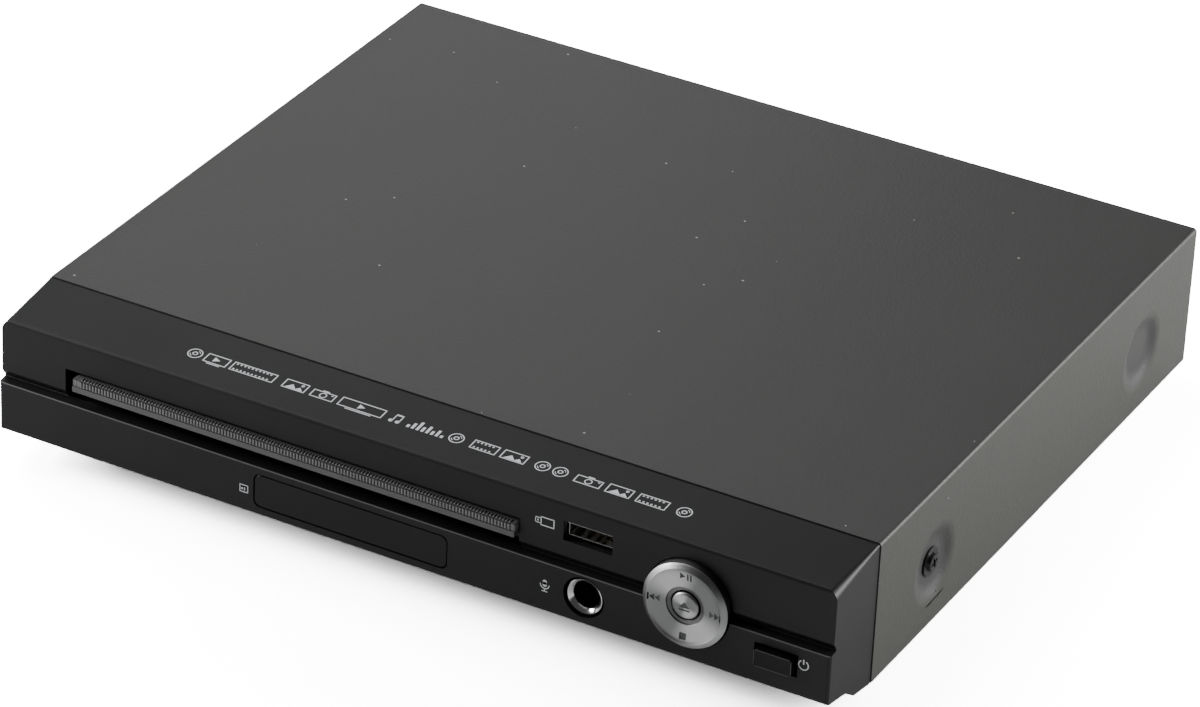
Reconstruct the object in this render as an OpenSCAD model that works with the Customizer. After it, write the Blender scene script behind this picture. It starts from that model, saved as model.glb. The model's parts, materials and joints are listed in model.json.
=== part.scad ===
// Compact disc player with a front tray: folded steel case, moulded bezel, disc loader and boards.
// Millimetres. X is the width, Y the depth (front towards -Y) and Z is up from the table.
// Places below are written in the case frame: x from the middle, y from the seam between cover and
// bezel, z from the bottom edge of the case. Loader pieces count x from the middle of the tray.

/* [Case] */
// Width of the steel cover
case_w = 240; // [236:1:250]
// Depth of the steel cover, from the seam to its rear edge
case_d = 187.1; // [186:0.1:195]
// Height of the steel cover
case_h = 40.3; // [40:0.1:44]
// Thickness of the sheet steel
sheet_t = 0.8; // [0.6:0.1:1]
// Height of the rubber feet
foot_h = 4; // [3:0.5:10]

/* [Bezel] */
// Distance from the seam to the upper front face
upper_face = 22.3; // [22:0.1:23]
// Distance from the seam to the lower front face
lower_face = 23.9; // [23.6:0.1:25]
// Wall thickness of the bezel moulding
bezel_wall = 2; // [1.6:0.1:2.2]
// Width of the bezel
bezel_w = 239.5; // [239:0.1:239.6]

/* [Tray] */
// Middle of the loader, measured from the middle of the case
loader_x = -32.55; // [-34:0.05:-31]
// Width of the disc tray
tray_w = 128.5; // [127:0.1:129]
// Travel of the tray
tray_travel = 136; // [120:1:138]
// Diameter of the recess for a full-size disc
disc_recess_d = 121; // [120.5:0.1:122]
// Diameter of the recess for a small disc
small_recess_d = 81; // [80.5:0.1:82]
// Distance from the seam to the middle of the disc
disc_y = 50; // [49:0.5:51]

/* [Front controls] */
// Place of the round control, across and up
control_at = [80.3, 22]; // [0:0.1:120]
// Diameter of the round control
control_d = 22.7; // [22:0.1:23]
// Place of the power button, across and up
power_at = [105.2, 14.9]; // [0:0.1:120]
// Width and height of the power button
power_size = [10.3, 4.7]; // [4:0.1:11]
// Place of the microphone jack, across and up
jack_at = [52.1, 14.2]; // [0:0.1:120]
// Place of the USB socket, across and up
usb_at = [51.75, 30.9]; // [0:0.1:120]

/* [Gears] */
// Play between meshing teeth
backlash = 0.25; // [0.2:0.01:0.3]

/* [Hidden] */
$fn = 48;

// Case frame: the RCA jacks reach furthest back and the power button furthest forward.
rca_reach = 8.2;
power_proud = 2;
rear_face = case_d - 0.9;
rear_inner = rear_face - sheet_t;
front_reach = lower_face + power_proud;
seam_y = (front_reach - rear_face - rca_reach) / 2;
pan_half = case_w / 2 - sheet_t - 0.15;

// Bezel outline in side view, [y, z], from the seam round the front and back underneath.
seam_gap = 0.3;
lip_z = 20.5;
upper_low_z = 23.2;
bezel_side = [
    [-seam_gap, case_h - 0.2], [-upper_face, 38.2], [-upper_face, upper_low_z], [-20.7, 21],
    [-lower_face, lip_z], [-lower_face, 6.5], [-14.1, 4.7], [-9.3, 1.4], [-seam_gap, -0.2]
];
bezel_side_r = [0.3, 1, 0.4, 0.3, 0.25, 1, 0.8, 0.8, 0.2];
// Height of the sloping top strip at a place y.
function slope_z(y) = let (back = bezel_side[0], front = bezel_side[1])
    back[1] + (y - back[0]) * (front[1] - back[1]) / (front[0] - back[0]);
bezel_hollow = [
    [1, case_h - bezel_wall - 0.2], [bezel_wall - upper_face, 38 - bezel_wall],
    [bezel_wall - upper_face, upper_low_z + 1.2], [bezel_wall - 20.7, 21.5],
    [bezel_wall - 20.7, 20.2], [bezel_wall - lower_face, lip_z - bezel_wall],
    [bezel_wall - lower_face, 6.7 + bezel_wall], [-13.6, 6.7], [-8.6, 3.3], [1, bezel_wall - 0.2]
];

// Openings in the bezel: [low, high] across and up.
slot_x = [-100.4, 32.6];
slot_z = [21, 29.7];
window_x = [-43, 13.5];
window_z = [8.85, 18.6];
usb_cut_x = [44.9, 58.6];
usb_cut_z = [27.7, 33.1];

// Tray and its door.
door_x = [-97.3, 32.2];
door_z = [24.8, 28.8];
door_front = -24.1;
tray_front = -20.5;
tray_rear = 152;
tray_z = [23, 28.2];
disc_floor_z = 25.6;
small_floor_z = 24.4;
pickup_slot_w = 48;

// Loader frame.
rail_in = 65;
rail_out = 67.5;
rail_y = [-9, 160];
rail_z = [4, 33];
base_z = [11.5, 13];
ear_x = 71.5;
ear_y = [7, 145];
ear_z = [7, 9.5];
bridge_boss_x = 69.5;

// Tray drive, seen from above: rack pitch line, gears and pulleys. Gear sizes follow their modules.
tray_module = 1;
feed_module = 0.8;
rack_x = -55;
drive_y = 5;
rack_gear_n = 24;
large_gear_n = 36;
pinion_n = 12;
tray_gear_x = rack_x + tray_module * rack_gear_n / 2;
pulley_x = tray_gear_x + tray_module * (large_gear_n + pinion_n) / 2;
motor_x = 12;
axle_r = 1.5;
running_fit = 0.06;
rack_z = [21.3, 23];
belt_z = [14.4, 15.6];
belt_t = 1.2;
pulley_seat_r = 11.75;
motor_seat_r = 3.15;
rack_teeth = ceil(tray_travel / (PI * tray_module)) + 1;

// Deck: it hinges on a rear pivot, and front pins ride in the cam slider's slots.
pivot_y = 142;
pivot_z = 15;
pivot_r = 2.5;
cradle_x = 48.5;
cradle_y = [31, 139];
cradle_z = [12.5, 16.5];
deck_drop_deg = 3.5;
cam_pin_x = 30;
cam_pin_r = 2;
cam_travel = 14;
cam_y = [26.9, 29.4];
cam_drop = (pivot_y - (cam_y[0] + cam_y[1]) / 2) * sin(deck_drop_deg);
damper_at = [[-40.5, 39], [40.5, 39], [-40.5, 131], [40.5, 131]];
plate_z = [19, 20.2];
rod_x = 17;
rod_z = 21.3;
rod_r = 1.25;
rod_y = [59, 131.5];
can_z = [9, 19];
disc_seat_z = 26.6;

// Pickup and its feed gears.
sled_y = [63, 93];
sled_top = 23.2;
lens_y = disc_y + 24;
feed_rack_x = 24.5;
feed_rack_y = [66, 112];
feed_gear_n = 24;
feed_pinion_n = 10;
feed_gear_at = [feed_rack_x + feed_module * feed_gear_n / 2, 106];
feed_motor_at = [feed_gear_at[0], feed_gear_at[1] - feed_module * (feed_gear_n + feed_pinion_n) / 2];
feed_z = [20.6, 22.4];

// Front board and the switches on it.
board_y = [-12.4, -10.8];
switch_reach = 8.2;
gimbal_y = -18.9;
ring_front = -25.5;
control_gap = 0.7;
power_gap = 0.8;

// Main and power boards.
board_z = [5.5, 7.1];
main_x = [44, 76.5];
main_y = [14, 184];
power_x = [80, 115.5];
power_y = [58, 184];
main_posts = [[47, 20], [73.5, 20], [47, 165], [73.5, 165]];
power_posts = [[84, 63], [111.5, 63], [83.5, 165], [112, 165]];
rca_x = [49.5, 59.5, 69.5];
rca_z = [14, 26];
inlet_at = [97, 14.2];
inlet_pin_gap = 8.6;

// Screws and dimples in the side of the cover.
dimple_z = 17.5;
dimple_y = [32.6, 156];
dimple_depth = 1.5;
side_screw_y = 32.6;
rear_tab_screws = [[-115.2, 24.2], [115.2, 24.2]];
rear_top_screws = [[-80, 36], [0, 36], [80, 36]];
foot_at = [[-100, 20], [100, 20], [-100, 167], [100, 167]];

// ---- Helpers ----

module in_case() { translate([0, seam_y, foot_h]) children(); }
module in_loader() { translate([loader_x, seam_y, foot_h]) children(); }
module both_sides() {
    children();
    mirror([1, 0, 0]) children();
}

// Box between two values on each axis.
module span(x, y, z) {
    translate([x[0], y[0], z[0]]) cube([x[1] - x[0], y[1] - y[0], z[1] - z[0]]);
}
// Round bar along one axis, between two values on it.
module bar_x(x, y, z, r) { translate([x[0], y, z]) rotate([0, 90, 0]) cylinder(h = x[1] - x[0], r = r); }
module bar_y(x, y, z, r) { translate([x, y[1], z]) rotate([90, 0, 0]) cylinder(h = y[1] - y[0], r = r); }
module bar_z(x, y, z, r) { translate([x, y, z[0]]) cylinder(h = z[1] - z[0], r = r); }
// Cone along Y: radius r[0] at y[0] and r[1] at y[1].
module cone_y(x, y, z, r) {
    translate([x, y[0], z]) rotate([-90, 0, 0]) cylinder(h = y[1] - y[0], r1 = r[0], r2 = r[1]);
}
// Slot along X with round ends, cut downwards.
module vent(x, y, z, r) {
    bar_z(x[0], y, z, r);
    bar_z(x[1], y, z, r);
    span(x, [y - r, y + r], z);
}

function unit(v) = v / norm(v);
// Points of an arc of radius r that rounds the corner b between a and c.
function corner(a, b, c, r, n) =
    let (u = unit(a - b), v = unit(c - b))
    let (half = acos(u * v) / 2)
    let (mid = b + unit(u + v) * r / sin(half))
    let (from = b + u * r / tan(half) - mid, to = b + v * r / tan(half) - mid)
    let (start = atan2(from[1], from[0]), sweep = atan2(to[1], to[0]) - start)
    let (short = sweep > 180 ? sweep - 360 : sweep < -180 ? sweep + 360 : sweep)
    [for (i = [0:n]) mid + r * [cos(start + short * i / n), sin(start + short * i / n)]];
function rounded(pts, radii, n) = [
    for (i = [0:len(pts) - 1])
        each corner(pts[(i + len(pts) - 1) % len(pts)], pts[i], pts[(i + 1) % len(pts)], radii[i], n)
];
// Side view outline, [y, z], pulled out along X.
module side_prism(pts, x) {
    translate([x[0], 0, 0]) rotate([90, 0, 90]) linear_extrude(x[1] - x[0]) polygon(pts);
}
// Rectangle with round corners in the XZ plane, pulled out along Y.
module front_plate(x, y, z, r, n = 6) {
    pts = [[x[0], z[0]], [x[1], z[0]], [x[1], z[1]], [x[0], z[1]]];
    translate([0, y[1], 0]) rotate([90, 0, 0])
        linear_extrude(y[1] - y[0]) polygon(rounded(pts, [r, r, r, r], n));
}

// ---- Gears ----

pressure = 20;
function roll(rb, r) = sqrt(max(0, r * r / rb / rb - 1)) * 180 / PI;
function involute_angle(rb, r) = roll(rb, r) - atan(roll(rb, r) * PI / 180);
// Half of the angle that a tooth takes up at radius r.
function half_tooth(m, n, r) =
    let (rp = m * n / 2, rb = rp * cos(pressure))
    (PI * m / 2 - backlash / 2) / (2 * rp) * 180 / PI + involute_angle(rb, rp) - involute_angle(rb, max(rb, r));
function gear_outline(m, n, turned) =
    let (rp = m * n / 2, rf = rp - 1.15 * m, ra = rp + 0.9 * m, rb = max(rf + 0.1, rp * cos(pressure)))
    let (radii = [rf, for (i = [0:3]) rb + (ra - rb) * i / 3])
    [for (k = [0:n - 1], side = [-1, 1], i = [0:4])
        let (r = radii[side < 0 ? i : 4 - i])
        let (a = turned + k * 360 / n + side * half_tooth(m, n, r))
        r * [cos(a), sin(a)]];
module gear(m, n, z, turned = 0) {
    translate([0, 0, z[0]]) linear_extrude(z[1] - z[0]) polygon(gear_outline(m, n, turned));
}
// Rack along Y with its teeth towards +X. The pitch line is x = 0, and a tooth stands at y = 0.
module rack(m, teeth, back, y, z) {
    half = PI * m / 4 - backlash / 4;
    tip = half - 0.9 * m * tan(pressure);
    root = half + 1.15 * m * tan(pressure);
    toothed = [for (k = [teeth[0]:teeth[1]], p = [[-1.15, -root], [0.9, -tip], [0.9, tip], [-1.15, root]])
        [p[0] * m, k * PI * m + p[1]]];
    outline = concat([[-back, y[0]], [-1.15 * m, y[0]]], toothed, [[-1.15 * m, y[1]], [-back, y[1]]]);
    translate([0, 0, z[0]]) linear_extrude(z[1] - z[0]) polygon(outline);
}

// ---- Screws ----

// Cross-head screw standing on z = 0 with its shaft downwards.
module screw(head_r, head_h, shaft_r, shaft_l) {
    difference() {
        union() {
            cylinder(h = head_h * 0.6, r = head_r);
            translate([0, 0, head_h * 0.6]) cylinder(h = head_h * 0.4, r1 = head_r, r2 = head_r * 0.75);
            translate([0, 0, -shaft_l]) cylinder(h = shaft_l, r = shaft_r);
        }
        for (a = [0, 90]) rotate(a)
            translate([-head_r * 0.5, -head_r * 0.12, head_h * 0.45]) cube([head_r, head_r * 0.24, head_h]);
    }
}
// Washer-head screw of the same form.
module flange_screw(flange_r, head_r, head_h, shaft_r, shaft_l) {
    cylinder(h = 0.5, r = flange_r);
    translate([0, 0, 0.5]) difference() {
        cylinder(h = head_h - 0.5, r1 = head_r, r2 = head_r * 0.86);
        for (a = [0, 90]) rotate(a + 20)
            translate([-head_r * 0.62, -head_r * 0.14, 0.1]) cube([head_r * 1.24, head_r * 0.28, head_h]);
    }
    translate([0, 0, -shaft_l]) cylinder(h = shaft_l, r = shaft_r);
}

// ---- Case ----

// Section of the cover: a rectangle with its two upper corners bent to radius r.
module cover_outline(half, top, r) {
    translate([-half, -1]) square([2 * half, top + 1 - r]);
    translate([r - half, -1]) square([2 * (half - r), top + 1]);
    for (s = [-1, 1]) translate([s * (half - r), top - r]) circle(r = r);
}
// Dish pressed into the side of the cover, as a solid from the outer face inwards.
module dish(y, out, depth, grow) {
    translate([case_w / 2 + out, y, dimple_z]) rotate([0, -90, 0])
        cylinder(h = depth + out, r1 = 10.5 + grow, r2 = 6.8 + grow);
}
module top_cover() in_case() color("dimgray") difference() {
    union() {
        difference() {
            translate([0, case_d, 0]) rotate([90, 0, 0])
                linear_extrude(case_d) cover_outline(case_w / 2, case_h, 1);
            translate([0, case_d + 1, 0]) rotate([90, 0, 0])
                linear_extrude(case_d + 2) cover_outline(case_w / 2 - sheet_t, case_h - sheet_t, 0.3);
            span([-case_w, case_w], [-1, case_d + 1], [-5, 0]);
        }
        both_sides() for (y = dimple_y) dish(y, -0.4, dimple_depth + sheet_t, 0);
        span([-112, 112], [case_d - sheet_t, case_d], [32.5, case_h - sheet_t / 2]);
        both_sides() span([111.5, case_w / 2 - 0.4], [case_d - sheet_t, case_d], [18, 30.4]);
    }
    both_sides() for (y = dimple_y) dish(y, 0.01, dimple_depth, 0);
    both_sides() bar_x([100, 121], side_screw_y, dimple_z, 1.6);
    for (p = concat(rear_tab_screws, rear_top_screws))
        bar_y(p[0], [case_d - 2, case_d + 1], p[1], 1.6);
}

module post(at, r, top, hole_r) {
    difference() {
        bar_z(at[0], at[1], [sheet_t - 0.1, top], r);
        bar_z(at[0], at[1], [sheet_t + 0.4, top + 1], hole_r);
    }
}
module chassis_pan() in_case() color("silver") difference() {
    union() {
        span([-pan_half, pan_half], [0.4, rear_inner - 0.1], [0, sheet_t]);
        both_sides() {
            span([pan_half - sheet_t, pan_half], [0.4, rear_inner - 0.1], [0, 7.5]);
            span([116.8, 118.4], [24, 41], [sheet_t - 0.1, 2 * sheet_t]);
            span([116.8, 117.6], [24, 41], [sheet_t, 27]);
        }
        for (p = concat(main_posts, power_posts)) post(p, 3, board_z[0], 1.3);
        for (x = [-ear_x, ear_x], y = ear_y) post([loader_x + x, y], 3.5, ear_z[0], 1.3);
    }
    both_sides() bar_x([110, 118], side_screw_y, dimple_z, 1.5);
    for (i = [0:11]) vent([88, 108], 72 + i * 7, [-1, sheet_t + 0.2], 1.25);
}

module rear_panel() in_case() color("dimgray") difference() {
    union() {
        span([-118.9, 118.9], [rear_inner, rear_face], [0.9, case_h - 1]);
        span([-110, 110], [178, rear_inner + 0.1], [0.9, 0.9 + sheet_t]);
    }
    for (x = rca_x, z = rca_z) bar_y(x, [180, 190], z, 4.4);
    span([inlet_at[0] - 11.7, inlet_at[0] + 11.7], [180, 190], [inlet_at[1] - 6.7, inlet_at[1] + 6.7]);
    for (p = concat(rear_tab_screws, rear_top_screws)) bar_y(p[0], [180, 190], p[1], 1.5);
    for (i = [0:15]) span([-96 + i * 7, -93.5 + i * 7], [rear_inner - 1, rear_face + 1], [12, 28]);
}

// Cross-section of the bezel's ends, in a thin slice; r rounds its top corners.
module bezel_end(y, r) front_plate([-bezel_w / 2, bezel_w / 2], [y, y + 0.02], [-6, slope_z(y) + 0.02], r, 8);

// The top corners are sharp at the seam and grow rounder towards the front.
module bezel_blank() intersection() {
    side_prism(rounded(bezel_side, bezel_side_r, 5), [-bezel_w / 2 - 1, bezel_w / 2 + 1]);
    hull() {
        bezel_end(-seam_gap, 0.8);
        bezel_end(-lower_face - 0.5, 3.2);
    }
    translate([0, 0, -3]) linear_extrude(50) polygon(rounded(
        [[-bezel_w / 2 - 0.01, 5], [bezel_w / 2 + 0.01, 5], [bezel_w / 2 + 0.01, -lower_face],
         [-bezel_w / 2 - 0.01, -lower_face]],
        [1, 1, 1, 1], 5));
}
module front_bezel() in_case() color("black") difference() {
    union() {
        difference() {
            bezel_blank();
            side_prism(bezel_hollow, [bezel_wall - bezel_w / 2, bezel_w / 2 - bezel_wall]);
        }
        // Ears that carry the pins of the round control.
        for (s = [-1, 1]) translate([control_at[0] + s * 14.4, 0, control_at[1]])
            span([-1.3, 1.3], [-20.4, -17.4], [-2.4, 2.4]);
        // Hooks that lie on the chassis pan.
        for (x = [-80, 0, 80]) span([x - 8, x + 8], [-3, 6], [sheet_t + 0.15, 2.5]);
    }
    span(slot_x, [-30, -10], slot_z);
    span(usb_cut_x, [-30, -10], usb_cut_z);
    front_plate(window_x, [-30, -20], window_z, 2);
    bar_y(control_at[0], [-30, -17.4], control_at[1], control_d / 2 + control_gap);
    bar_x([control_at[0] - 15, control_at[0] + 15], gimbal_y, control_at[1], 0.9 + running_fit);
    bar_y(jack_at[0], [-30, -15], jack_at[1], 5.7);
    translate([power_at[0], 0, power_at[1]])
        span([-power_size[0] / 2 - power_gap, power_size[0] / 2 + power_gap], [-30, -15],
             [-power_size[1] / 2 - power_gap, power_size[1] / 2 + power_gap]);
}

module feet() in_case() color("black") for (p = foot_at) translate([p[0], p[1], -foot_h]) rotate_extrude()
    polygon([[0, 0.6], [3, 0.6], [3.2, 0], [6.6, 0], [7.5, foot_h], [0, foot_h]]);

module side_screws() in_case() color("black") both_sides()
    translate([case_w / 2 - dimple_depth, side_screw_y, dimple_z]) rotate([0, 90, 0])
        flange_screw(4, 2.6, 1.4, 1.45, 6.5);

module rear_screws() in_case() color("black") for (p = concat(rear_tab_screws, rear_top_screws))
    translate([p[0], case_d, p[1]]) rotate([-90, 0, 0]) screw(3.2, 1.6, 1.45, 7);

// ---- Front of the player ----

module display_window() in_case() color("black")
    front_plate(window_x + [0.15, -0.15], [0.05 - lower_face, bezel_wall - lower_face], window_z + [0.15, -0.15], 1.85);

module display_module() in_case() color("darkslategray") {
    span([-30, 11.5], [-20.5, board_y[0] - 0.05], [9.3, 18.2]);
}

module ir_receiver() in_case() color("black") {
    span([-39.2, -33.6], [-17.6, board_y[0] - 0.05], [9.8, 17]);
    translate([-36.4, -17.6, 14]) sphere(r = 2.3);
}

module front_board() in_case() color("darkgreen") difference() {
    union() {
        span([-49, 42], board_y, [6.6, 19.5]);
        span([40.5, 114.5], board_y, [6.6, 36]);
    }
    span([usb_at[0] - 6.9, usb_at[0] + 6.9], [-15, -8], [usb_at[1] - 3.2, usb_at[1] + 3.2]);
    span([jack_at[0] - 6.8, jack_at[0] + 6.8], [-15, -8], [jack_at[1] - 6.8, jack_at[1] + 6.8]);
    span([power_at[0] - 4.8, power_at[0] + 4.8], [-15, -8], [power_at[1] - 4.8, power_at[1] + 4.8]);
}

module tact_switches() in_case() color("gray")
    for (p = [[0, 0], [switch_reach, 0], [-switch_reach, 0], [0, switch_reach], [0, -switch_reach]])
        translate([control_at[0] + p[0], 0, control_at[1] + p[1]]) {
            span([-2.5, 2.5], [-16, board_y[0] - 0.05], [-2.5, 2.5]);
            bar_y(0, [-16.7, -15.9], 0, 1.7);
        }

module usb_shell() in_case() color("silver") translate([usb_at[0], 0, usb_at[1]]) difference() {
    span([-6.55, 6.55], [-20.2, -6.5], [-2.86, 2.86]);
    span([-6.25, 6.25], [-21, -6], [-2.56, 2.56]);
}

module usb_tongue() in_case() color("black") translate([usb_at[0], 0, usb_at[1]]) {
    span([-6.2, 6.2], [-8.2, -6.6], [-2.5, 2.5]);
    span([-5.55, 5.55], [-19.2, -8.1], [0.2, 2.1]);
}

module mic_jack() in_case() color("black") translate([jack_at[0], 0, jack_at[1]]) difference() {
    span([-6.5, 6.5], [-17.4, 6], [-6.5, 6.5]);
    bar_y(0, [-18, 4], 0, 3.5);
}

module jack_bushing() in_case() color("silver") translate([jack_at[0], 0, jack_at[1]]) difference() {
    union() {
        bar_y(0, [-24, -17.45], 0, 5);
        cone_y(0, [-24.4, -24], 0, [4.6, 5]);
    }
    bar_y(0, [-25, -17], 0, 3.25);
    cone_y(0, [-24.6, -23.6], 0, [4.1, 3.1]);
}

module power_switch() in_case() color("ivory") translate([power_at[0], 0, power_at[1]]) difference() {
    span([-4.5, 4.5], [-13.5, 1], [-4.5, 4.5]);
    bar_y(0, [-14, -6.2], 0, 2.1);
}

module ring_carrier() in_case() color("black") translate([control_at[0], 0, control_at[1]]) difference() {
    union() {
        bar_y(0, [-20.4, -17.4], 0, control_d / 2 - 0.25);
        for (a = [0:90:270]) translate([switch_reach * cos(a), 0, switch_reach * sin(a)])
            bar_y(0, [-17.5, -17.1], 0, 1.6);
        bar_x([-14.6, 14.6], gimbal_y, 0, 0.9);
    }
    bar_y(0, [-21, -16], 0, 6);
    translate([0, gimbal_y, -8]) cylinder(h = 16, r = 0.7 + running_fit);
}

// Dished ring: its section is turned about the Y axis. Points are [radius, distance forward].
module control_ring() in_case() color("silver") translate([control_at[0], 0, control_at[1]]) {
    rim = control_d / 2;
    rotate([90, 0, 0]) rotate_extrude($fn = 96) polygon([
        [4.1, 18], [5.6, 18], [5.6, 20.9], [rim, 20.9], [rim, 24.9], [rim - 0.9, -ring_front],
        [rim - 1.2, -ring_front], [rim - 1.6, 25.1], [7.5, 24.85], [5.2, 24.8], [5.1, 24.3], [4.1, 24.3]]);
    for (s = [-1, 1]) translate([0, gimbal_y, s * 6.5 - 1.1]) cylinder(h = 2.2, r = 0.7);
}

module eject_button() in_case() color("silver") translate([control_at[0], 0, control_at[1]])
    rotate([90, 0, 0]) rotate_extrude()
        polygon([[0, 17.35], [2, 17.35], [2, 19.5], [3.75, 19.5], [3.75, 24.5], [3.4, 24.8], [0, 24.95]]);

module power_button() in_case() color("black") translate([power_at[0], 0, power_at[1]]) {
    front_plate([-power_size[0] / 2, power_size[0] / 2], [-front_reach, -19],
                [-power_size[1] / 2, power_size[1] / 2], 0.8, 4);
    bar_y(0, [-19.1, -9], 0, 2);
}

// ---- Boards, connectors and mains parts ----

module board(x, y, posts) {
    difference() {
        span(x, y, board_z);
        for (p = posts) bar_z(p[0], p[1], [board_z[0] - 1, board_z[1] + 1], 1.5);
    }
}
module main_board() in_case() color("darkgreen") board(main_x, main_y, main_posts);
module power_board() in_case() color("peru") board(power_x, power_y, power_posts);

module board_components() in_case() color("black") {
    top = board_z[1] + 0.05;
    span([50, 70], [85, 105], [top, top + 1.4]);
    span([52, 73], [62, 72], [top, top + 1.1]);
    span([50, 60], [40, 57], [top, top + 1.6]);
    span([64, 72], [46, 51], [top, top + 1.5]);
    span([60, 74], [24, 28], [top, top + 4]);
    span([45, 49], [92, 108], [top, top + 4]);
    span([50, 70], [128, 131], [top, top + 6]);
    for (x = [52, 60, 68]) bar_z(x, 145, [top, top + 8], 3);
}

module chip_heatsink() in_case() color("silver") {
    low = board_z[1] + 1.5;
    span([50, 70], [85, 105], [low, low + 1.5]);
    for (i = [0:6]) span([50 + i * 3.1, 51.2 + i * 3.1], [85, 105], [low + 1.4, low + 10]);
}

module transformer() in_case() color("goldenrod") {
    low = board_z[1] + 0.05;
    difference() {
        span([84, 111], [98, 120], [low, low + 21]);
        span([89, 106], [97, 121], [low + 4, low + 17]);
    }
    span([89.1, 105.9], [95, 123], [low + 4.1, low + 16.9]);
}

module capacitors() in_case() color("midnightblue") {
    low = board_z[1] + 0.05;
    bar_z(97, 145, [low, low + 26], 8);
    for (x = [87, 97, 107]) bar_z(x, 74, [low, low + 13], 4);
}

module power_heatsink() in_case() color("silver") {
    low = board_z[1] + 0.05;
    span([85, 110], [87, 88.5], [low, low + 24]);
    for (i = [0:4]) span([86 + i * 5.5, 87.2 + i * 5.5], [82.5, 87.1], [low, low + 24]);
}

module mains_inlet() in_case() color("black") translate([inlet_at[0], 0, inlet_at[1]]) difference() {
    union() {
        span([-11.5, 11.5], [172, rear_face + 0.1], [-6.5, 6.5]);
        front_plate([-13, 13], [rear_face + 0.1, rear_face + 1.1], [-8, 8], 1.5);
    }
    for (s = [-1, 1]) bar_y(s * inlet_pin_gap / 2, [177, 190], 0, 4.1);
    span([-inlet_pin_gap / 2, inlet_pin_gap / 2], [177, 190], [-4.1, 4.1]);
    for (s = [-1, 1]) bar_y(s * inlet_pin_gap / 2, [171, 178], 0, 1.25);
}

module inlet_pins() in_case() color("silver") for (s = [-1, 1])
    bar_y(inlet_at[0] + s * inlet_pin_gap / 2, [171.5, 185.5], inlet_at[1], 1.2);

module rca_block() in_case() color("black")
    span([44.5, 74.5], [172, rear_inner - 0.1], [board_z[1] + 0.05, 32.5]);

module rca_shells() in_case() color("silver") for (x = rca_x, z = rca_z) difference() {
    union() {
        bar_y(x, [rear_inner - 0.05, rear_face + 0.3], z, 3.9);
        bar_y(x, [rear_face + 0.2, rear_face + rca_reach], z, 4.15);
    }
    bar_y(x, [rear_inner - 1, rear_face + rca_reach + 1], z, 3.4);
}

module rca_inserts() in_case() color("white") for (x = rca_x, z = rca_z) difference() {
    bar_y(x, [rear_inner - 0.05, rear_face + rca_reach - 1.2], z, 3.35);
    bar_y(x, [rear_inner + 1, rear_face + rca_reach], z, 1.65);
}

// Flat cables: the path is [y, z] or [x, z], and the strip is drawn between its two sides.
function strip(path, t) = concat(path, [for (i = [len(path) - 1:-1:0]) path[i] + [0, t]]);
module front_ribbon() in_case() color("white")
    side_prism(strip([[24.5, 11.2], [14, 14], [2, 23], [-8, 25], [board_y[1] + 0.05, 25]], 0.4), [60, 74]);
module deck_ribbon() in_case() color("white") translate([0, 107, 0]) rotate([90, 0, 0])
    linear_extrude(14) polygon(strip([[-28, 1.2], [38, 1.2], [42, 7.2], [45, 11.2], [47, 11.2]], 0.4));

module board_screws() in_case() color("silver") for (p = concat(main_posts, power_posts))
    translate([p[0], p[1], board_z[1]]) screw(2.6, 1.7, 1.25, 5);

// ---- Loader ----

module loader_frame() in_loader() color("dimgray") difference() {
    union() {
        both_sides() {
            // Rails beside the tray, ledges under it and tabs over it.
            span([rail_in, rail_out], rail_y, rail_z);
            span([59, rail_in + 0.5], rail_y, [21, tray_z[0] - 0.1]);
            for (y = [0, 118]) span([62, rail_in + 0.5], [y, y + 12], [tray_z[1] + 0.2, 30]);
            // Floor beside the deck, deck pivots, screw ears and bosses for the clamp bridge.
            span([54, rail_in + 0.5], [24, 150], base_z);
            span([cradle_x + 0.8, 54.5], [pivot_y - 5, pivot_y + 5], [base_z[0], pivot_z + 4]);
            for (y = ear_y) span([rail_out - 0.5, ear_x + 3.5], [y - 5, y + 5], ear_z);
            span([rail_out - 0.5, bridge_boss_x], [disc_y - 2.4, disc_y + 2.4], [22, rail_z[1]]);
            bar_z(bridge_boss_x, disc_y, [22, rail_z[1]], 3);
        }
        // Floor in front of the deck and behind it, with the rear wall.
        span([-rail_in - 0.5, rail_in + 0.5], [rail_y[0], 25], base_z);
        span([-rail_in - 0.5, -22], [-14, rail_y[0] + 0.5], base_z);
        span([-rail_in - 0.5, rail_in + 0.5], [148, rail_y[1]], base_z);
        span([-rail_in - 0.5, rail_in + 0.5], [rail_y[1] - 2, rail_y[1]], [rail_z[0], tray_z[0] - 0.1]);
        // Track of the cam slider and the axles of the gears.
        span([-54, 54], [24.6, cam_y[0] - 0.3], [3, 16.5]);
        span([-54, 54], [25, cam_y[1] + 0.4], [1.7, 3.1]);
        bar_z(pulley_x, drive_y, [base_z[1] - 0.5, 19.8], axle_r);
        bar_z(tray_gear_x, drive_y, [base_z[1] - 0.5, 22.8], axle_r);
    }
    bar_z(motor_x, drive_y, [base_z[0] - 1, base_z[1] + 1], 3.2);
    both_sides() {
        for (y = ear_y) bar_z(ear_x, y, [ear_z[0] - 1, ear_z[1] + 1], 1.75);
        bar_z(bridge_boss_x, disc_y, [24, rail_z[1] + 1], 1.3);
        bar_x([40, 60], pivot_y, pivot_z, pivot_r + running_fit);
    }
    span([60, 70], [91, 109], [1, 9]);
}

module loader_screws() in_loader() color("silver") {
    for (x = [-ear_x, ear_x], y = ear_y) translate([x, y, ear_z[1]]) screw(3.2, 1.9, 1.25, 8);
    both_sides() translate([bridge_boss_x, disc_y, 34.2]) screw(2.6, 1.7, 1.25, 8);
}

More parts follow.
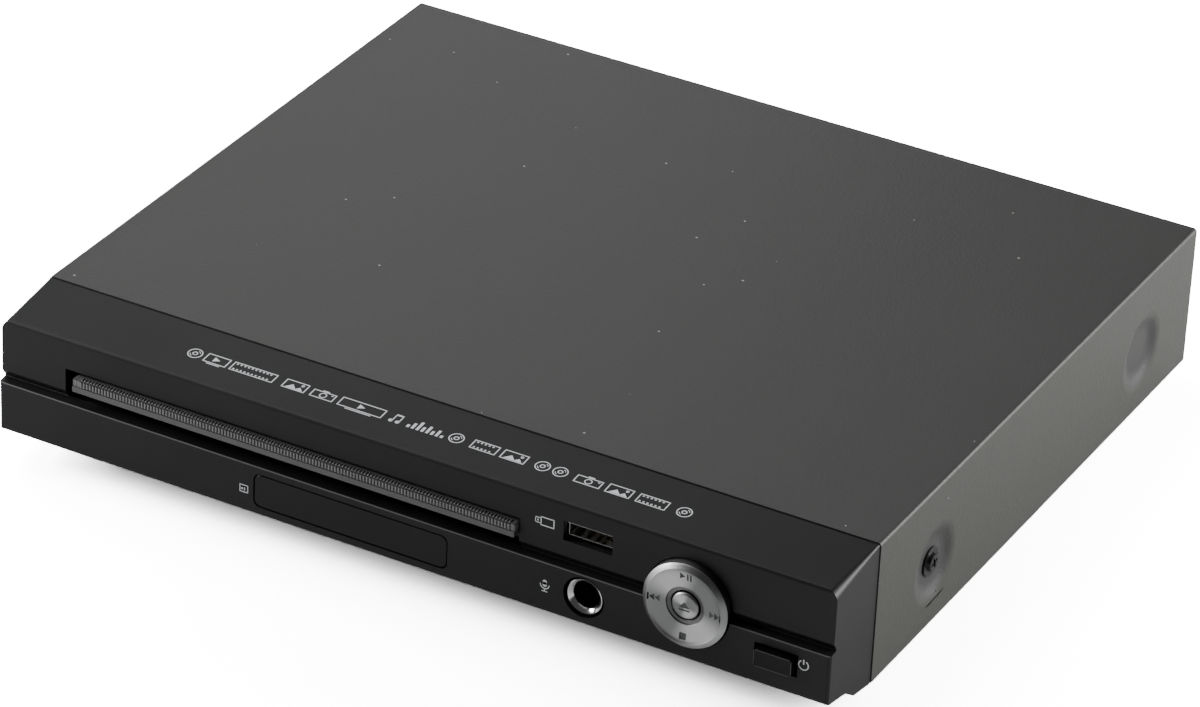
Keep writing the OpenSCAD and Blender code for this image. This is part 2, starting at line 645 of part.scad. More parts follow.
module clamp_bridge() in_loader() color("silver") difference() {
    union() {
        span([-72.5, 72.5], [disc_y - 14, disc_y + 14], [rail_z[1], 34.2]);
        for (y = [disc_y - 14, disc_y + 12.8]) span([-58, 58], [y, y + 1.2], [34.1, 36.5]);
    }
    bar_z(0, disc_y, [30, 40], 9.6);
    both_sides() bar_z(bridge_boss_x, disc_y, [30, 40], 1.4);
}

module disc_clamp() in_loader() color("white") translate([0, disc_y, 0]) rotate_extrude($fn = 72)
    polygon([[0, 29.8], [8.5, 29.8], [8.5, 29], [12, 29], [12, 28.6], [16.5, 28.6], [16.5, 30.5],
             [8.8, 30.5], [8.8, 34.3], [11.8, 34.3], [11.8, 35.9], [0, 35.9]]);

module loading_motor() in_loader() color("silver") translate([motor_x, drive_y, 0]) difference() {
    union() {
        bar_z(0, 0, [3.2, base_z[0] - 0.05], 10);
        bar_z(0, 0, [base_z[0] - 0.1, 12.8], 3);
    }
    bar_z(0, 0, [5.5, 14], 1 + running_fit);
}

// Half section of a pulley with a groove that holds the belt.
function pulley_section(outer, seat, z) = [
    [0, z[0]], [outer, z[0]], [outer, belt_z[0] - 0.2], [seat - 0.15, belt_z[0] - 0.2],
    [seat - 0.15, belt_z[1] + 0.2], [outer, belt_z[1] + 0.2], [outer, z[1]], [0, z[1]]];
module motor_pulley() in_loader() color("ivory") translate([motor_x, drive_y, 0]) {
    rotate_extrude() polygon(pulley_section(4.4, motor_seat_r, [13.6, 16.4]));
    bar_z(0, 0, [6, 16.9], 1);
}

module drive_belt() in_loader() color("black") translate([0, drive_y, belt_z[0]])
    linear_extrude(belt_t) difference() {
        hull() {
            translate([pulley_x, 0]) circle(r = pulley_seat_r + belt_t);
            translate([motor_x, 0]) circle(r = motor_seat_r + belt_t, $fn = 24);
        }
        hull() {
            translate([pulley_x, 0]) circle(r = pulley_seat_r);
            translate([motor_x, 0]) circle(r = motor_seat_r, $fn = 24);
        }
    }

module pulley_gear() in_loader() color("ivory") translate([pulley_x, drive_y, 0]) difference() {
    union() {
        rotate_extrude() polygon(pulley_section(13.1, pulley_seat_r, [13.5, 16.4]));
        gear(tray_module, pinion_n, [16.3, 19.3], 180 / pinion_n);
    }
    bar_z(0, 0, [13, 20], axle_r + running_fit);
}

module tray_gear() in_loader() color("ivory") translate([tray_gear_x, drive_y, 0]) difference() {
    union() {
        bar_z(0, 0, [13.5, 17], 4);
        gear(tray_module, large_gear_n, [16.8, 19]);
        gear(tray_module, rack_gear_n, [18.9, 22.8], 180 / rack_gear_n);
    }
    bar_z(0, 0, [13, 23], axle_r + running_fit);
}

// Slot that a deck pin follows: it starts round the pin and falls away to the left.
// Its round ends are half circles, and their points are worked out.
module cam_slot(x) {
    r = cam_pin_r + 0.3;
    slope = atan(cam_drop / cam_travel);
    right_end = [for (a = [-90:15:90]) r * [cos(a + slope), sin(a + slope)]];
    left_end = [for (a = [90:15:270]) [-cam_travel, -cam_drop] + r * [cos(a + slope), sin(a + slope)]];
    translate([x, 40, pivot_z]) rotate([90, 0, 0]) linear_extrude(20) polygon(concat(right_end, left_end));
}
module cam_slider() in_loader() color("white") difference() {
    span([-50, 37], cam_y, [3.3, 18.6]);
    cam_slot(cam_pin_x);
    cam_slot(-cam_pin_x);
}

// ---- Tray ----

module disc_tray() in_loader() color("black") {
    difference() {
        span([-tray_w / 2, tray_w / 2], [tray_front, tray_rear], tray_z);
        bar_z(0, disc_y, [disc_floor_z, 40], disc_recess_d / 2);
        bar_z(0, disc_y, [small_floor_z, 40], small_recess_d / 2);
        bar_z(0, disc_y - 60, [small_floor_z, 40], 13);
        bar_z(0, disc_y, [10, 40], pickup_slot_w / 2);
        span([-pickup_slot_w / 2, pickup_slot_w / 2], [disc_y, tray_rear + 1], [10, 40]);
        both_sides() span([34, 56], [disc_y + 66, tray_rear - 6], [small_floor_z, 40]);
    }
    translate([rack_x, drive_y, 0])
        rack(tray_module, [-5, rack_teeth], 3.2, [-18, tray_rear - drive_y - 3], [rack_z[0], tray_z[0] + 0.1]);
}

module tray_door() in_case() color("gray", 0.8)
    front_plate(door_x, [door_front, tray_front - 0.05], door_z, 0.8, 4);

// ---- Deck ----

module deck_cradle() in_loader() color("dimgray") difference() {
    union() {
        difference() {
            span([-cradle_x, cradle_x], cradle_y, cradle_z);
            span([3.5 - cradle_x, cradle_x - 3.5], [cradle_y[0] + 4, cradle_y[1] - 4], [5, 20]);
        }
        both_sides() {
            span([cradle_x - 3.5, cradle_x], [135, 145], [cradle_z[0], 17.5]);
            bar_x([cradle_x - 0.5, cradle_x + 4.5], pivot_y, pivot_z, pivot_r);
            bar_y(cam_pin_x, [cam_y[0] - 0.05, cradle_y[0] + 0.5], pivot_z, cam_pin_r);
            for (y = [39, 131]) {
                bar_z(40.5, y, cradle_z, 4.4);
                span([40.5, 45.5], [y - 3, y + 3], cradle_z);
            }
        }
    }
    for (p = damper_at) bar_z(p[0], p[1], [cradle_z[0] + 0.8, 20], 1.3);
}

module deck_dampers() in_loader() color("black") for (p = damper_at) difference() {
    bar_z(p[0], p[1], [cradle_z[1], plate_z[0]], 3.6);
    bar_z(p[0], p[1], [cradle_z[1] - 1, plate_z[0] + 1], 1.5);
}

module deck_screws() in_loader() color("silver") for (p = damper_at)
    translate([p[0], p[1], plate_z[1]]) screw(3, 1.5, 1.25, 6.5);

module traverse_plate() in_loader() color("silver") difference() {
    union() {
        span([-45, 45], [34.5, 135.5], plate_z);
        for (x = [-rod_x, rod_x], y = [rod_y[0], rod_y[1] - 2])
            span([x - 2.5, x + 2.5], [y, y + 2], [plate_z[1] - 0.1, 23.1]);
        bar_z(feed_gear_at[0], feed_gear_at[1], [plate_z[1] - 0.1, 22.6], 1.2);
    }
    span([-22.8, 22.8], [62.5, 128.5], [10, 30]);
    bar_z(0, disc_y, [10, 30], 4);
    bar_z(feed_motor_at[0], feed_motor_at[1], [10, 30], 3);
    for (p = damper_at) bar_z(p[0], p[1], [10, 30], 1.5);
    for (x = [-rod_x, rod_x]) bar_y(x, [50, 140], rod_z, rod_r + 0.02);
}

module can_motor(at, can_r, boss_r, shaft_r) {
    translate([at[0], at[1], 0]) difference() {
        union() {
            bar_z(0, 0, [can_z[0], can_z[1] - 0.05], can_r);
            bar_z(0, 0, [can_z[1] - 0.1, can_z[1] + 1.3], boss_r);
        }
        bar_z(0, 0, [can_z[0] + 2, 25], shaft_r + running_fit);
    }
}
module spindle_motor() in_loader() color("silver") can_motor([0, disc_y], 12, 3.5, 1);
module sled_motor() in_loader() color("silver") can_motor(feed_motor_at, 9.5, 2.6, 0.8);

module turntable() in_loader() color("dimgray") translate([0, disc_y, 0]) {
    rotate_extrude($fn = 72) polygon([
        [0, 20.6], [5, 20.6], [5, 25.1], [15, 25.1], [15, disc_seat_z], [7.45, disc_seat_z],
        [7.45, 27.6], [6.2, 28.3], [0, 28.3]]);
    bar_z(0, 0, [can_z[0] + 2.5, 21], 1);
}

module guide_rods() in_loader() color("silver") for (x = [-rod_x, rod_x])
    bar_y(x, rod_y + [0.05, -0.05], rod_z, rod_r);

module pickup_sled() in_loader() color("dimgray") {
    difference() {
        union() {
            span([-21.5, 21.5], sled_y, [17.5, sled_top]);
            span([-13, 13], sled_y + [0, -6], [12, 17.6]);
        }
        span([-7, 7], [lens_y - 7, lens_y + 7], [20.4, 30]);
        for (x = [-rod_x, rod_x]) bar_y(x, [50, 100], rod_z, rod_r + running_fit);
        span([rod_x, 23], [sled_y[0] + 8, sled_y[1] - 8], [10, 19]);
        span([-23, -rod_x], [sled_y[0] + 8, sled_y[1] - 8], [10, 19]);
    }
    translate([feed_rack_x, feed_gear_at[1], 0])
        rack(feed_module, [-15, 2], 3.05, feed_rack_y - [feed_gear_at[1], feed_gear_at[1]], feed_z);
}

module lens_holder() in_loader() color("black") translate([0, lens_y, 0]) {
    span([-6, 6], [-6, 6], [21.4, 23.6]);
    rotate_extrude() polygon([[0, 23.5], [3.2, 23.5], [3.2, 24.1], [2.6, 24.3], [1.4, 24.5], [0, 24.6]]);
}

module feed_pinion() in_loader() color("ivory") translate([feed_motor_at[0], feed_motor_at[1], 0]) {
    gear(feed_module, feed_pinion_n, feed_z, 90);
    bar_z(0, 0, [can_z[0] + 2.5, feed_z[0] + 0.1], 0.8);
}

module feed_gear() in_loader() color("ivory") translate([feed_gear_at[0], feed_gear_at[1], 0]) difference() {
    gear(feed_module, feed_gear_n, feed_z, 180 / feed_gear_n);
    bar_z(0, 0, [20, 23], 1.2 + running_fit);
}

top_cover();
chassis_pan();
rear_panel();
front_bezel();
feet();
side_screws();
rear_screws();
display_window();
display_module();
ir_receiver();
front_board();
tact_switches();
usb_shell();
usb_tongue();
mic_jack();
jack_bushing();
power_switch();
ring_carrier();
control_ring();
eject_button();
power_button();
main_board();
board_components();
chip_heatsink();
power_board();
transformer();
capacitors();
power_heatsink();
mains_inlet();
inlet_pins();
rca_block();
rca_shells();
rca_inserts();
front_ribbon();
deck_ribbon();
board_screws();
loader_frame();
loader_screws();
clamp_bridge();
disc_clamp();
loading_motor();
motor_pulley();
drive_belt();
pulley_gear();
tray_gear();
cam_slider();
disc_tray();
tray_door();
deck_cradle();
deck_dampers();
deck_screws();
traverse_plate();
spindle_motor();
turntable();
guide_rods();
pickup_sled();
lens_holder();
sled_motor();
feed_pinion();
feed_gear();
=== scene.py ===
import json
import math

import bpy
from mathutils import Matrix, Vector


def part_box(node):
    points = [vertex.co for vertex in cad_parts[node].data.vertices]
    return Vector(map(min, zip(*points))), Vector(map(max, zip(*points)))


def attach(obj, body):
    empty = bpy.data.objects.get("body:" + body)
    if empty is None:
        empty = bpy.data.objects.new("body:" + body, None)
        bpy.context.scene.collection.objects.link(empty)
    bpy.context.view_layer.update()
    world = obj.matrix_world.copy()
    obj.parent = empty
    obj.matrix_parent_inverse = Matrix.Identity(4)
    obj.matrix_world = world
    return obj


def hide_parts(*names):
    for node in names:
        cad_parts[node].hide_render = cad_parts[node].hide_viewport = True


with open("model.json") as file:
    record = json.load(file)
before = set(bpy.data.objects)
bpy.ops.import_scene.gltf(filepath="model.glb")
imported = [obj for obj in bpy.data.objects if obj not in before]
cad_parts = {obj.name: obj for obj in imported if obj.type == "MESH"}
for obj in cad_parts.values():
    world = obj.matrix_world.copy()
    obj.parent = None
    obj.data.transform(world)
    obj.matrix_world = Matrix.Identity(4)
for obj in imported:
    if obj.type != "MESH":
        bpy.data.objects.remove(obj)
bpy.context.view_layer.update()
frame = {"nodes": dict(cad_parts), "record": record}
nodes = frame["nodes"]
slot_of = {part["node"]: part["material_slot"] for part in frame["record"]["subparts"]}

# Places are written in millimetres from the case's middle, its front seam and its bottom edge.
MM = 0.001
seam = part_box("top_cover")[0]
CASE = Vector((0, seam.y, seam.z))
SIDE_FACE, UPPER_FACE, LOWER_FACE = 120, -22.3, -23.9
SLOPE_FRONT, SLOPE_BACK = (-22.3, 38.2), (-0.3, 40.1)
BRIGHT_EDGE = 20.45
SLOT_TOP, SLOT_MIDDLE, SLOT_HALF = 33.1, 52.3, 6.2
DOOR = {"x": (-97.3, 32.2), "y": (-24.1, -20.55), "z": (24.8, 28.8)}
RIB_PITCH, RIB_WIDTH, RIB_START = 0.92, 0.5, DOOR["x"][0] + 2.4
CONTROL, CONTROL_RIM, CONTROL_FRONT = (80.3, 22), 11.7, 25.5
GUTTER_RADII = (3.8, 5.2)
KEY, KEY_FRONT = (105.2, 14.9, 10.3, 4.7), -25.9
USB, JACK = (51.75, 30.9), (52.1, 14.2)
DIMPLES, DIMPLE_Z, DIMPLE_RADII = (32.6, 156), 17.5, (10.5, 6.8)
# A place this close to a face, or in front of it, counts as lying on it.
NEAR = 0.3


def spot(x, y, z):
    return CASE + Vector((x, y, z)) * MM


# ---- Camera, lights and floor ----

CAMERA_PLACE, LENS = (613.6, -1091.35, 784.0), 175.19
RIGHT = Vector((0.8735, 0.4851, 0.0408)).normalized()
UP = Vector((-0.2749, 0.4223, 0.8638))
UP = (UP - RIGHT * UP.dot(RIGHT)).normalized()
camera_data = bpy.data.cameras.new("camera")
camera_data.sensor_width = 36
camera_data.lens = LENS
camera_data.clip_end = 20
camera = bpy.data.objects.new("camera", camera_data)
camera.matrix_world = (Matrix.Translation(spot(*CAMERA_PLACE))
                       @ Matrix((RIGHT, UP, RIGHT.cross(UP))).transposed().to_4x4())
bpy.context.scene.collection.objects.link(camera)
bpy.context.scene.camera = camera


def softbox(name, place, aim, size, power):
    """Rectangular lamp that looks at a point."""
    lamp = bpy.data.lights.new(name, "AREA")
    lamp.shape, lamp.size, lamp.size_y = "RECTANGLE", size[0], size[1]
    lamp.energy = power
    obj = bpy.data.objects.new(name, lamp)
    obj.location = Vector(place)
    obj.rotation_euler = (Vector(aim) - Vector(place)).to_track_quat("-Z", "Y").to_euler()
    bpy.context.scene.collection.objects.link(obj)


softbox("key_softbox", (-1.1, 0.3, 1.9), (0, 0, 0), (1.5, 1.5), 20)
softbox("rear_softbox", (-0.5, 0.75, 0.4), (-0.05, 0.1, 0), (0.5, 0.25), 1.05)
softbox("overhead_softbox", (0, 0, 3), (0, 0, 0), (4, 4), 12)
softbox("left_softbox", (-0.6, -0.3, 0.3), (-0.2, -0.15, 0), (0.25, 0.25), 5)
softbox("right_softbox", (0.75, 0.5, 0.3), (0.1, 0, 0), (0.5, 0.4), 14)
world = bpy.data.worlds.new("studio")
world.use_nodes = True
world.node_tree.nodes["Background"].inputs["Color"].default_value = (1, 1, 1, 1)
world.node_tree.nodes["Background"].inputs["Strength"].default_value = 0.07
bpy.context.scene.world = world


# ---- Finishes ----

def sign(operation, swapped=False):
    """A Math node between a level and a level or number."""
    def between(self, other):
        pair = [other, self] if swapped else [self, other]
        return self.finish.node("Math", pair, operation=operation)
    return between


class Level:
    """A value that changes over a surface. The usual signs add its Math nodes."""

    def __init__(self, finish, socket):
        self.finish, self.socket = finish, socket

    __add__, __radd__ = sign("ADD"), sign("ADD")
    __mul__, __rmul__ = sign("MULTIPLY"), sign("MULTIPLY")
    __sub__, __rsub__ = sign("SUBTRACT"), sign("SUBTRACT", True)
    __truediv__, __rtruediv__ = sign("DIVIDE"), sign("DIVIDE", True)
    above, below = sign("GREATER_THAN"), sign("LESS_THAN")
    highest = sign("MAXIMUM")

    def apply(self, operation):
        return self.finish.node("Math", [self], operation=operation)

    def fade(self, low, high):
        """0 below low, 1 above high, and smooth between."""
        return self.finish.node("MapRange", {"Value": self, "From Min": low, "From Max": high},
                                interpolation_type="SMOOTHSTEP")


class Finish:
    """A surface finish: one shader, and one method that adds any other node."""

    def __init__(self, name, colour, rough, metal=0.0, **sockets):
        self.material = bpy.data.materials.new(name)
        self.material.use_nodes = True
        self.tree = self.material.node_tree
        self.shader = self.tree.nodes["Principled BSDF"]
        self.put("Base Color", (*colour, 1))
        self.put("Roughness", rough)
        self.put("Metallic", metal)
        for name, value in sockets.items():
            self.put(name.replace("_", " "), value)
        self.place = self.node("TexCoord", out="Object")

    def wire(self, socket, value):
        if isinstance(value, Level):
            self.tree.links.new(value.socket, socket)
        else:
            socket.default_value = value

    def put(self, name, value):
        self.wire(self.shader.inputs[name], value)

    def node(self, kind, inputs=(), out=0, **settings):
        """Adds a node: its settings first, then the values or levels of its sockets."""
        made = self.tree.nodes.new("ShaderNode" + kind)
        for name, value in settings.items():
            setattr(made, name, value)
        for name, value in (inputs.items() if isinstance(inputs, dict) else enumerate(inputs)):
            self.wire(made.inputs[name], value)
        return Level(self, made.outputs[out])

    def axis(self, letter):
        """The place on the piece along one axis, in millimetres from the case's own start."""
        parts = self.node("SeparateXYZ", [self.place], out="XYZ".index(letter))
        return (parts - CASE["XYZ".index(letter)]) * 1000

    def noise(self, size, detail=3, stretch=(1, 1, 1)):
        """Cloudy grain whose features are about size millimetres."""
        place = self.place
        if stretch != (1, 1, 1):
            place = self.node("Mapping", {"Vector": place, "Scale": stretch})
        return self.node("TexNoise", {"Vector": place, "Scale": 1000 / size, "Detail": detail,
                                      "Roughness": 0.55})

    def cells(self, scale):
        """Distance to the nearest of many scattered points."""
        return self.node("TexVoronoi", {"Vector": self.place, "Scale": scale}, feature="F1")

    def mix(self, share, first, second):
        """Colour between two, by a share from 0 to 1."""
        pair = [value if isinstance(value, Level) else (*value, 1) for value in (first, second)]
        return self.node("Mix", {0: share, 6: pair[0], 7: pair[1]}, out=2, data_type="RGBA")

    def bump(self, height, depth):
        """Raises the surface by height times depth millimetres."""
        return self.node("Bump", {"Height": height, "Distance": depth * MM, "Strength": 1.0})


def moulded(name, colour, rough, grain=0.35, depth=0.01, variation=0.25, shades=None, **sockets):
    """Moulded plastic: a fine eroded grain, slight clouding of its colour and gloss.

    shades are its darkest and lightest colour, where they don't follow from colour and variation.
    """
    finish = Finish(name, colour, rough, **sockets)
    cloud = finish.noise(18, 2)
    fine = finish.noise(grain, 2)
    light = tuple(min(1, c * (1 + variation) + 0.002) for c in colour)
    dark = tuple(c * (1 - variation) for c in colour)
    finish.plain = finish.mix(cloud, *(shades or (dark, light)))
    finish.put("Base Color", finish.plain)
    finish.put("Roughness", rough - 0.03 + cloud * 0.04 + fine * 0.03)
    finish.put("Normal", finish.bump(fine, depth))
    return finish


def metal(name, colour, rough, stretch=(1, 1, 1), grain=0.6, depth=0.004, spread=0.12):
    """Plated or bare metal, with fine marks drawn out along an axis."""
    finish = Finish(name, colour, rough, metal=1.0)
    marks = finish.noise(grain, 4, stretch)
    cloud = finish.noise(12, 3)
    dull = tuple(c * 0.82 for c in colour)
    finish.put("Base Color", finish.mix(cloud, dull, colour))
    finish.put("Roughness", rough - spread / 2 + marks * spread)
    finish.put("Normal", finish.bump(marks, depth))
    return finish


def textured_paint():
    """Powder coat on sheet steel: pebbled skin, a little unevenly cured, with rare bright grains, and its
    sides painted a touch lighter and greener as painted light.
    """
    finish = Finish("cover_paint", (0.03, 0.03, 0.0295), 0.5, Specular_IOR_Level=0.5)
    pebble = finish.noise(0.9, 3)
    speck = finish.cells(1400)
    cloud = finish.noise(45, 3)
    grain = finish.cells(95).below(0.03)
    side = finish.axis("X").apply("ABSOLUTE").above(SIDE_FACE - NEAR)
    skin = pebble * 0.7 + speck * 0.5
    paint = finish.mix(cloud * 0.6 + pebble * 0.4, (0.019, 0.019, 0.0185), (0.031, 0.031, 0.03))
    # Painted light: the side faces are painted lighter and greener than the top, for how the light falls on
    # them.
    painted_side_light = finish.mix(side, paint, (0.032, 0.033, 0.028))
    finish.put("Base Color", finish.mix(grain, painted_side_light, (0.35, 0.35, 0.34)))
    finish.put("Roughness", 0.44 + cloud * 0.06 + pebble * 0.1)
    finish.put("Normal", finish.bump(skin, 0.06))
    return finish


def bezel_plastic():
    """Fine matt moulding, with painted highlights along the top edge of its lower face and along the top edge
    of the USB slot.
    """
    finish = moulded("bezel_black", (0.006, 0.006, 0.0065), 0.43, 0.3, 0.006,
                     shades=((0.0045, 0.0045, 0.005), (0.0095, 0.0095, 0.01)), Specular_IOR_Level=0.25)
    across, back, up = (finish.axis(letter) for letter in "XYZ")
    # Painted highlights: a light line along the top edge of the lower face, and a brighter one along the top
    # edge of the USB slot, for the light these edges catch.
    edge = (up - BRIGHT_EDGE).apply("ABSOLUTE").below(0.12) * back.below(LOWER_FACE + NEAR)
    slot_top_highlight = ((up - SLOT_TOP).apply("ABSOLUTE").below(0.13)
              * (across - SLOT_MIDDLE).apply("ABSOLUTE").below(SLOT_HALF) * back.below(UPPER_FACE + NEAR))
    face = finish.mix(edge, finish.plain, (0.1, 0.1, 0.1))
    finish.put("Base Color", finish.mix(slot_top_highlight, face, (0.3, 0.3, 0.29)))
    return finish


# Slant of the two bright sectors painted onto the control ring as a painted reflection.
PAINTED_FAN_ANGLE = math.radians(-58)


def spun_silver():
    """Satin silver with the fine circles of a lathe. Two bright sectors are painted into its colour as a
    painted reflection, and the gutter around the button is painted dark as painted shade.
    """
    finish = Finish("satin_silver", (0.3, 0.305, 0.305), 0.3, metal=1.0)
    across, up = finish.axis("X") - CONTROL[0], finish.axis("Z") - CONTROL[1]
    radius = (across * across + up * up).apply("SQRT")
    circles, fine = (finish.node("TexNoise", {"W": radius, "Scale": scale, "Detail": detail},
                                 noise_dimensions="1D") for scale, detail in ((9, 3), (30, 2)))
    # Painted reflection: two opposite sectors along one slant are painted much brighter, standing in for the
    # bright sectors that light makes on spun metal.
    along = (across * math.cos(PAINTED_FAN_ANGLE) + up * math.sin(PAINTED_FAN_ANGLE)) / radius.highest(0.5)
    painted_fans = (along * along).fade(0.25, 1)
    plain = finish.mix(circles, (0.16, 0.165, 0.165), (0.26, 0.265, 0.26))
    bright = finish.mix(circles, (0.5, 0.505, 0.505), (0.66, 0.665, 0.66))
    # Painted shade: the gutter between the dish and the button is painted nearly black, for the shade that
    # falls in it.
    gutter = radius.above(GUTTER_RADII[0]) * radius.below(GUTTER_RADII[1])
    face = finish.mix(painted_fans, plain, bright)
    finish.put("Base Color", finish.mix(gutter * 0.75, face, (0.06, 0.06, 0.06)))
    finish.put("Roughness", 0.26 + fine * 0.14)
    finish.put("Normal", finish.bump(circles * 0.6 + fine * 0.4, 0.025))
    return finish


def circuit_board(name, mask, track):
    """Lacquered board: copper tracks that show through the lacquer, and small pads."""
    finish = Finish(name, mask, 0.3)
    bricks = finish.node("TexBrick", {"Vector": finish.place, "Scale": 1000, "Mortar Size": 0.25,
                                      "Mortar Smooth": 0.1, "Brick Width": 5.2, "Row Height": 1.9}, out="Fac")
    pad = 1 - finish.cells(260).fade(0.16, 0.2)
    tracks = finish.mix(bricks * 0.8, mask, track)
    finish.put("Base Color", finish.mix(pad, tracks, (0.6, 0.58, 0.52)))
    finish.put("Metallic", pad * 0.9)
    finish.put("Roughness", 0.32 - pad * 0.06)
    finish.put("Normal", finish.bump(bricks * 0.5 + pad, 0.03))
    return finish


def striped(name, first, second, axis, pitch, rough, share=0.5):
    """Plastic or tape with lines across one axis, as on a flat cable or wound tape."""
    finish = Finish(name, first, rough)
    wave = (finish.axis(axis) / pitch).apply("FRACT")
    line = wave.fade(share - 0.08, share + 0.08)
    finish.put("Base Color", finish.mix(line, first, second))
    finish.put("Roughness", rough + line * 0.06)
    finish.put("Normal", finish.bump(line, 0.05))
    return finish


def jack_inserts():
    """Plastic inside the rear jacks, coloured by jack: three for picture, two for sound and one digital."""
    finish = Finish("jack_insert", (0.8, 0.8, 0.78), 0.35)
    across, up = finish.axis("X"), finish.axis("Z")
    between_rows, between_columns = 20, (54.5, 64.5)
    low = up.below(between_rows)
    left, right = across.below(between_columns[0]), across.above(between_columns[1])
    middle = 1 - left - right
    colour = finish.mix(left * low, (0.8, 0.8, 0.78), (0.78, 0.56, 0.02))
    for place, paint in ((middle * low, (0.78, 0.78, 0.76)), (right * low, (0.55, 0.02, 0.02)),
                         (left * (1 - low), (0.02, 0.32, 0.06)), (middle * (1 - low), (0.02, 0.07, 0.45)),
                         (right * (1 - low), (0.55, 0.02, 0.02))):
        colour = finish.mix(place, colour, paint)
    grain = finish.noise(0.5, 2)
    finish.put("Base Color", finish.mix(grain * 0.12, colour, (0.02, 0.02, 0.02)))
    finish.put("Normal", finish.bump(grain, 0.01))
    return finish


def smoked_bar():
    """Smoke-tinted clear plastic. Its ribs are painted lighter as a painted highlight, the short ones on its
    top less so, and a dark line is painted along its top front corner as painted shade.
    """
    finish = Finish("smoke_clear", (0.06, 0.06, 0.062), 0.2, Coat_Weight=0.4, Coat_Roughness=0.08,
                    Specular_IOR_Level=0.3)
    cloud = finish.noise(9, 3)
    along, back, up = (finish.axis(letter) for letter in "XYZ")
    front, (low, high) = DOOR["y"][0], DOOR["z"]
    step = ((along - RIB_START) / RIB_PITCH).apply("FRACT")
    # Painted shade: a dark line along the top front corner.
    corner_shade = up.above(high - 0.55) * back.below(front + 0.48)
    # Painted highlight: the ribs are painted lighter than the smoke between them, those on the top face less
    # so.
    upright = step.below(RIB_WIDTH / RIB_PITCH) * up.above(low + 1.7)
    rib = upright * (1 - corner_shade) * (1 - back.above(front + 0.55) * 0.6)
    smoke = finish.mix(cloud, (0.06, 0.06, 0.062), (0.09, 0.09, 0.092))
    plain = finish.mix(corner_shade, smoke, (0.015, 0.015, 0.015))
    finish.put("Base Color", finish.mix(rib, plain, (0.16, 0.16, 0.165)))
    finish.put("Roughness", 0.16 + cloud * 0.1)
    return finish


def power_key_plastic():
    """Dark key with a painted highlight along the edges of its front."""
    dark = (0.003, 0.003, 0.0035)
    finish = moulded("key_black", dark, 0.4, 0.3, 0.004, shades=(dark, dark), Specular_IOR_Level=0.2)
    across, up, back = (finish.axis(letter) for letter in "XZY")
    x, z, wide, tall = KEY
    # Painted highlight: a light band this wide around the front face, for the light its edges catch.
    highlight_width = 0.16
    rim = ((across - x).apply("ABSOLUTE").above(wide / 2 - highlight_width)
           .highest((up - z).apply("ABSOLUTE").above(tall / 2 - highlight_width))) * back.below(KEY_FRONT + 0.15)
    finish.put("Base Color", finish.mix(rim, finish.plain, (0.09, 0.09, 0.09)))
    return finish


FLOOR_SEEN = 16


def studio_floor():
    """Pale paper sweep, which the camera sees brighter than it lights the player."""
    finish = Finish("studio_floor", (0.82, 0.82, 0.82), 0.8)
    fibre = finish.noise(6, 3)
    seen = finish.node("LightPath", out="Is Camera Ray")
    paper = finish.mix(fibre, (0.81, 0.81, 0.81), (0.83, 0.83, 0.83))
    finish.put("Base Color", finish.mix(seen, paper, (FLOOR_SEEN, FLOOR_SEEN, FLOOR_SEEN)))
    finish.put("Specular IOR Level", 0)
    return finish


finishes = {
    "cover_paint": textured_paint(),
    "zinc_steel": metal("zinc_steel", (0.62, 0.63, 0.64), 0.34, (1, 0.08, 1), 0.5, 0.004),
    "bezel_black": bezel_plastic(),
    "black_plastic": moulded("black_plastic", (0.01, 0.01, 0.0105), 0.42, 0.4, 0.012,
                             Specular_IOR_Level=0.3),
    "smoke_clear": smoked_bar(),
    "window_black": moulded("window_black", (0.006, 0.006, 0.0065), 0.14, 3, 0.001, 0.1,
                            Specular_IOR_Level=0.22),
    "silver_plated": metal("silver_plated", (0.72, 0.72, 0.71), 0.16, depth=0.002),
    "satin_silver": spun_silver(),
    "screw_black": metal("screw_black", (0.035, 0.035, 0.036), 0.34, depth=0.006),
    "screw_zinc": metal("screw_zinc", (0.6, 0.6, 0.57), 0.3, depth=0.004),
    "rubber_black": moulded("rubber_black", (0.014, 0.014, 0.014), 0.72, 0.8, 0.03),
    "frame_grey": moulded("frame_grey", (0.035, 0.036, 0.038), 0.48, 0.4, 0.015),
    "gear_white": moulded("gear_white", (0.66, 0.64, 0.58), 0.36, 0.5, 0.008, 0.06),
    "board_green": circuit_board("board_green", (0.008, 0.085, 0.03), (0.02, 0.17, 0.055)),
    "board_tan": circuit_board("board_tan", (0.33, 0.2, 0.085), (0.46, 0.3, 0.14)),
    "board_parts": moulded("board_parts", (0.02, 0.02, 0.021), 0.4, 0.5, 0.01),
    "heatsink_metal": metal("heatsink_metal", (0.6, 0.61, 0.62), 0.32, (1, 1, 0.06), 0.5, 0.006),
    "motor_can": metal("motor_can", (0.55, 0.55, 0.54), 0.26, (1, 1, 0.1), 0.5, 0.003),
    "rod_steel": metal("rod_steel", (0.7, 0.7, 0.7), 0.12, (1, 0.05, 1), 0.3, 0.001, 0.06),
    "transformer_wrap": striped("transformer_wrap", (0.52, 0.36, 0.04), (0.4, 0.27, 0.03), "Z", 4.5, 0.4,
                                0.85),
    "capacitor_sleeve": moulded("capacitor_sleeve", (0.012, 0.016, 0.05), 0.28, 1.5, 0.006),
    "cable_white": striped("cable_white", (0.72, 0.72, 0.7), (0.5, 0.5, 0.5), "X", 1.0, 0.45),
    "jack_insert": jack_inserts(),
    "lens_body": moulded("lens_body", (0.012, 0.012, 0.02), 0.12, 2, 0.002),
    "clamp_white": moulded("clamp_white", (0.74, 0.73, 0.7), 0.42, 0.5, 0.01, 0.05),
    "display_dark": moulded("display_dark", (0.01, 0.014, 0.013), 0.1, 2, 0.001),
}
